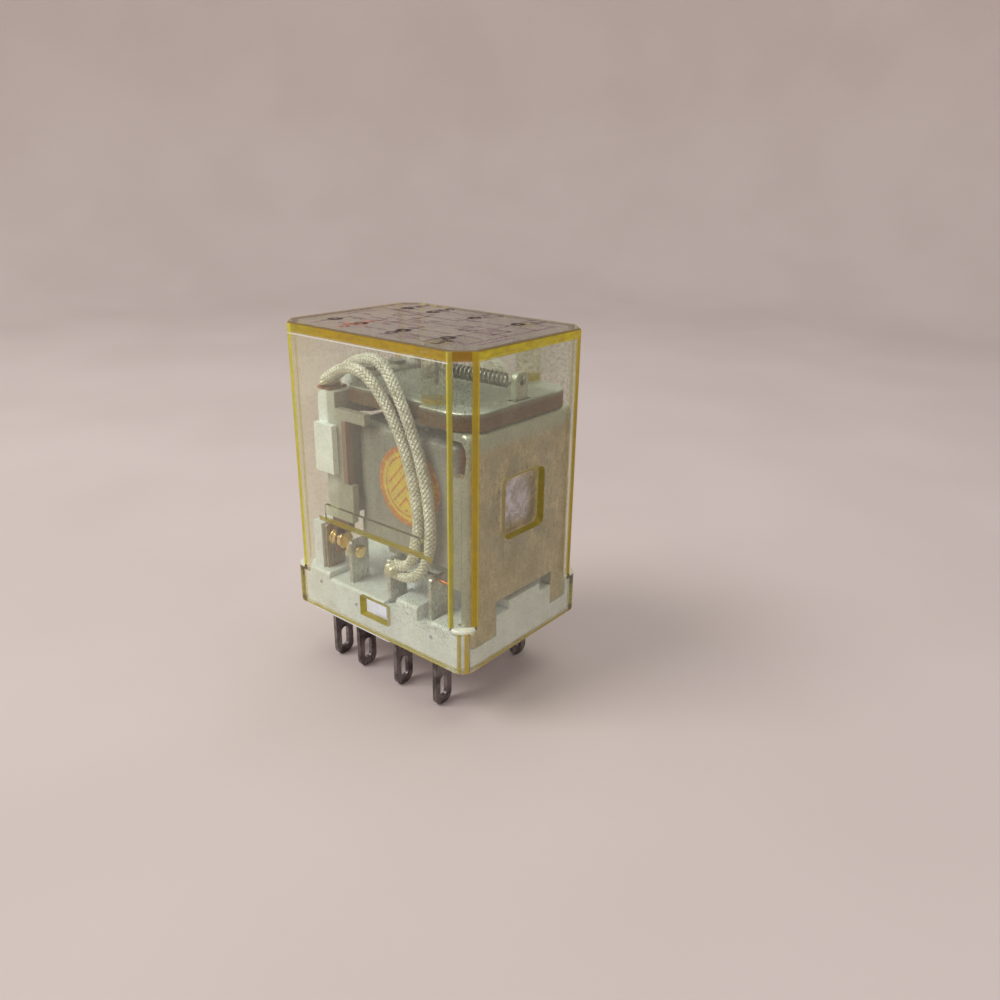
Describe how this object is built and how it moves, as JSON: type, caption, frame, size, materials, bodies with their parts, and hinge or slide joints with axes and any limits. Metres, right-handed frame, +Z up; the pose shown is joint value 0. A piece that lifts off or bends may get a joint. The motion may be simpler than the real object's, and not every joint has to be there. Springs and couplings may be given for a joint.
{
  "type": "control relay",
  "caption": "Plug-in control relay: clear amber cover over a coil, hinged armature and two changeover contact sets, on a moulded base with flat blade pins.",
  "frame": {"origin": "centre of the seating plane under the base", "axes": "+Z up, away from the socket; +X towards the yoke end; -X towards the contact end"},
  "size_m": [0.0274, 0.0208, 0.0416],
  "materials": {
    "amber_cover": "clear amber moulding",
    "cream_base": "satin moulding",
    "white_card": "satin moulding",
    "tinned_blade": "tarnished tin plate",
    "gold_contact": "polished",
    "bronze_spring": "tarnished",
    "dusty_steel": "zinc plate, dusty",
    "bare_iron": "ground",
    "copper_ring": "tarnished",
    "bobbin_plastic": "moulded",
    "enamelled_wire": "enamelled copper",
    "coil_wrap": "adhesive film tape",
    "coil_label": "printed film",
    "dark_clamp": "moulded",
    "tinned_braid": "woven tinned copper",
    "spring_steel": "drawn wire"
  },
  "bodies": {
    "relay_body": {"base": "cream_base", "bobbin": "bobbin_plastic", "braid_inner_far": "tinned_braid", "braid_inner_near": "tinned_braid", "braid_outer_far": "tinned_braid", "braid_outer_near": "tinned_braid", "coil_label": "coil_label", "coil_lead_far": "enamelled_wire", "coil_lead_near": "enamelled_wire", "coil_tape": "coil_wrap", "coil_winding": "enamelled_wire", "contact_nc_far": "gold_contact", "contact_nc_near": "gold_contact", "contact_no_far": "gold_contact", "contact_no_near": "gold_contact", "core": "bare_iron", "cover": "amber_cover", "return_spring": "spring_steel", "shading_ring": "copper_ring", "terminal_12_common": "tinned_blade", "terminal_13_coil": "tinned_blade", "terminal_14_coil": "tinned_blade", "terminal_1_nc": "tinned_blade", "terminal_4_nc": "tinned_blade", "terminal_5_no": "tinned_blade", "terminal_8_no": "tinned_blade", "terminal_9_common": "tinned_blade", "yoke": "dusty_steel"},
    "armature_assembly": {"armature": "dusty_steel", "card": "white_card", "card_rivets": "dusty_steel", "moving_contact_far": "gold_contact", "moving_contact_near": "gold_contact", "moving_spring_far": "bronze_spring", "moving_spring_near": "bronze_spring", "spring_clamp_far": "dark_clamp", "spring_clamp_near": "dark_clamp"}
  },
  "joints": [
    {"name": "armature_pull", "type": "hinge", "parent": "relay_body", "child": "armature_assembly", "pos_m": [0.0112, 0, 0.02685], "axis": [0, -1, 0], "range_deg": [0, 2.8], "stiffness_Nm_per_rad": 0.02, "springref_deg": -5.73, "deforming": ["braid_inner_far", "braid_inner_near", "braid_outer_far", "braid_outer_near", "return_spring"]}
  ]
}
